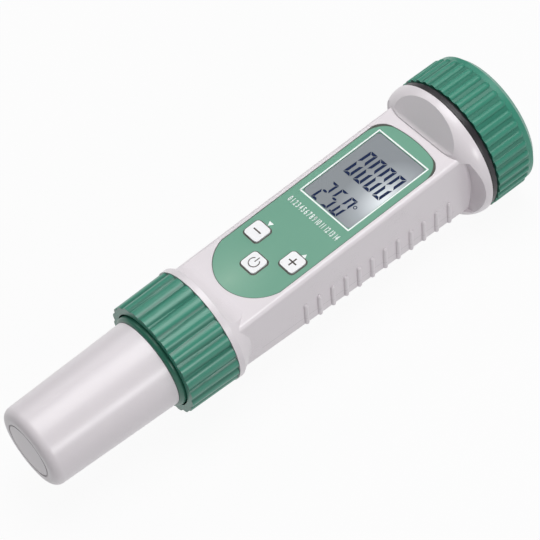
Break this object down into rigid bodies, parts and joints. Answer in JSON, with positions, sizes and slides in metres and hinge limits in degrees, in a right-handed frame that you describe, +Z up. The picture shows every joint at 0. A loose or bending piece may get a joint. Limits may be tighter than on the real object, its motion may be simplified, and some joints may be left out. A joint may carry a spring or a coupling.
{
  "type": "water quality tester",
  "caption": "Pen-type water tester with a screw-on probe under a protective cap, a fluted collar, a sloped display face with push keys and a ribbed battery cap.",
  "frame": {"origin": "middle of the footprint, on the surface that the tester lies on with its display up", "axes": "+X from the protective cap towards the battery cap, +Z up out of the display, +Y towards the far side face"},
  "size_m": [0.185, 0.0478, 0.0476],
  "materials": {
    "body_white": "satin",
    "cap_green": "satin",
    "probe_green": "satin",
    "probe_dark": "moulded",
    "seal_rubber": "smooth",
    "sponge": "open foam",
    "sensor_glass": "clear",
    "pin_metal": "polished",
    "junction_white": "porous",
    "contact_gold": "plated",
    "board_green": "lacquered",
    "label_green": "printed film",
    "window_clear": "clear",
    "display_grey": "polarised",
    "light_guide": "translucent white",
    "strip_grey": "smooth",
    "inner_black": "moulded",
    "can_metal": "satin",
    "spring_steel": "plated",
    "ribbon_grey": "smooth",
    "key_white": "satin",
    "cell_steel": "plated"
  },
  "bodies": {
    "housing": {"front_shell": "body_white", "rear_cover": "body_white", "probe_socket": "inner_black", "label": "label_green", "display_window": "window_clear", "display_glass": "display_grey", "display_backlight": "light_guide", "contact_strips": "strip_grey", "display_frame": "inner_black", "main_board": "board_green", "key_switches": "inner_black", "main_chip": "inner_black", "capacitors": "can_metal", "board_screws": "spring_steel", "probe_ribbon": "ribbon_grey", "rubber_ring": "seal_rubber", "battery_holder": "inner_black", "battery_cell_1": "cell_steel", "battery_cell_2": "cell_steel", "battery_cell_3": "cell_steel", "battery_cell_4": "cell_steel", "battery_spring": "spring_steel", "positive_strip": "spring_steel"},
    "probe_module": {"probe_base": "probe_green", "cap_seal": "seal_rubber", "plug_seal": "seal_rubber", "probe_guard": "probe_dark", "probe_core": "probe_dark", "ph_bulb": "sensor_glass", "conductivity_pins": "pin_metal", "temperature_tube": "pin_metal", "reference_junction": "junction_white", "contact_carrier": "inner_black", "contact_pins": "contact_gold", "probe_board": "board_green"},
    "collar": {"collar": "cap_green"},
    "protective_cap": {"protective_cap": "body_white", "cap_sponge": "sponge"},
    "contact_plate": {"contact_disc": "spring_steel", "contact_spring": "spring_steel"},
    "battery_cap": {"battery_cap": "cap_green"},
    "key_power": {"key_power": "key_white"},
    "key_left": {"key_left": "key_white"},
    "key_right": {"key_right": "key_white"}
  },
  "joints": [
    {"name": "probe_slide", "type": "slide", "parent": "housing", "child": "probe_module", "axis": [-1, 0, 0], "range_m": [0, 0.0112]},
    {"name": "collar_turn", "type": "hinge", "parent": "probe_module", "child": "collar", "pos_m": [-0.0365, 0, 0.02382], "axis": [-1, 0, 0], "range_deg": [0, 990]},
    {"name": "cap_slide", "type": "slide", "parent": "probe_module", "child": "protective_cap", "axis": [-1, 0, 0], "range_m": [0, 0.048]},
    {"name": "contact_slide", "type": "slide", "parent": "housing", "child": "contact_plate", "axis": [1, 0, 0], "range_m": [0, 0.0122]},
    {"name": "battery_cap_turn", "type": "hinge", "parent": "contact_plate", "child": "battery_cap", "pos_m": [0.0845, 0, 0.02382], "axis": [1, 0, 0], "range_deg": [0, 1080]},
    {"name": "key_power_press", "type": "slide", "parent": "housing", "child": "key_power", "axis": [0.0363, 0, -0.9993], "range_m": [0, 0.0005], "stiffness_N_per_m": 400},
    {"name": "key_left_press", "type": "slide", "parent": "housing", "child": "key_left", "axis": [0.0363, 0, -0.9993], "range_m": [0, 0.0005], "stiffness_N_per_m": 400},
    {"name": "key_right_press", "type": "slide", "parent": "housing", "child": "key_right", "axis": [0.0363, 0, -0.9993], "range_m": [0, 0.0005], "stiffness_N_per_m": 400}
  ],
  "couplings": [
    {"joint": "probe_slide", "follows": "collar_turn", "m_per_rad": 0.00063662},
    {"joint": "contact_slide", "follows": "battery_cap_turn", "m_per_rad": 0.00063662}
  ]
}
